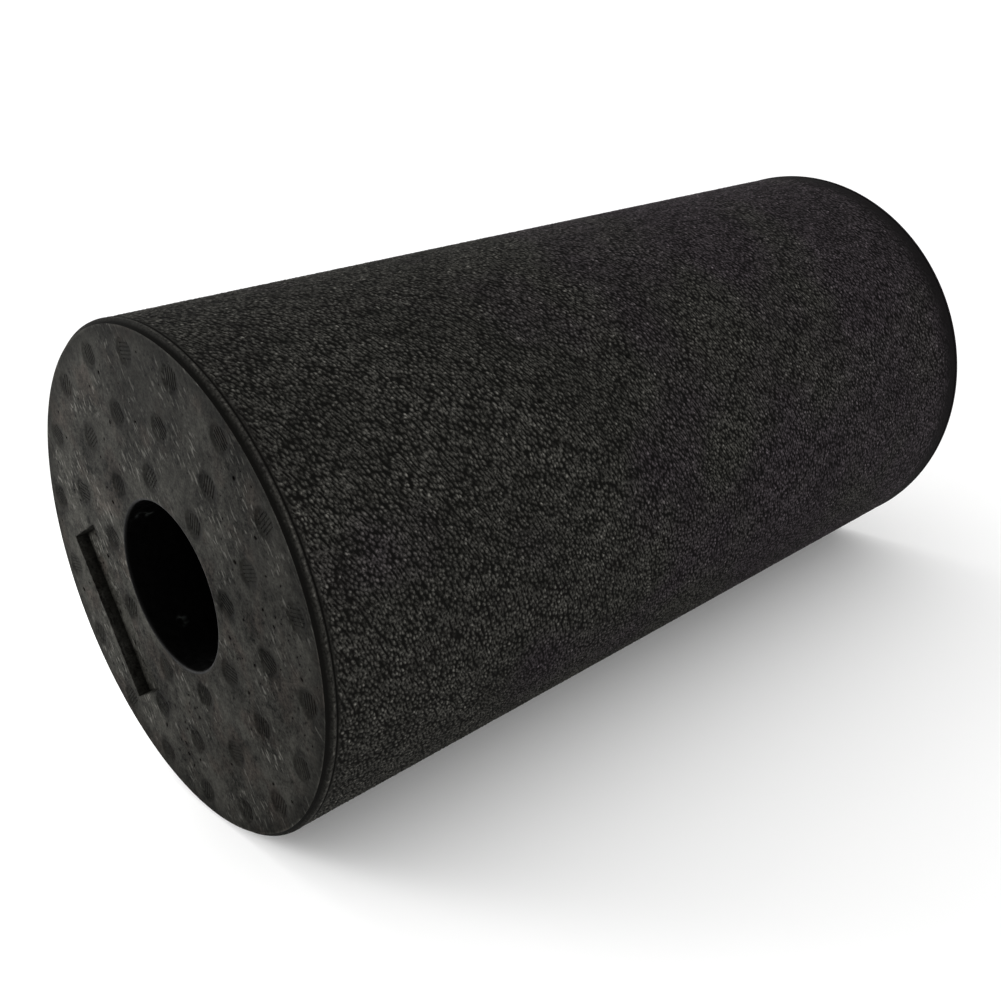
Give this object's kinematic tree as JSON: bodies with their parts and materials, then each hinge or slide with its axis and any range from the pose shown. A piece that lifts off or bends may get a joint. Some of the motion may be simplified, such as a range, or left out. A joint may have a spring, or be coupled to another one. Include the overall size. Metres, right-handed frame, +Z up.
{
  "type": "foam roller",
  "caption": "Cylindrical exercise and massage roller of moulded bead foam with an open core, a grained side and a shallow oblong field in one end.",
  "frame": {"origin": "middle of the bore, half way along the roller", "axes": "+X along the bore, away from the end with the oblong recess; +Z up, with the roller lying on its side"},
  "size_m": [0.3, 0.15, 0.15],
  "materials": {
    "bead_foam": "black expanded polypropylene, moulded, with a fine pebble grain on the side and a plain beaded skin on the ends"
  },
  "bodies": {
    "root": {"foam_body": "bead_foam"}
  },
  "joints": []
}
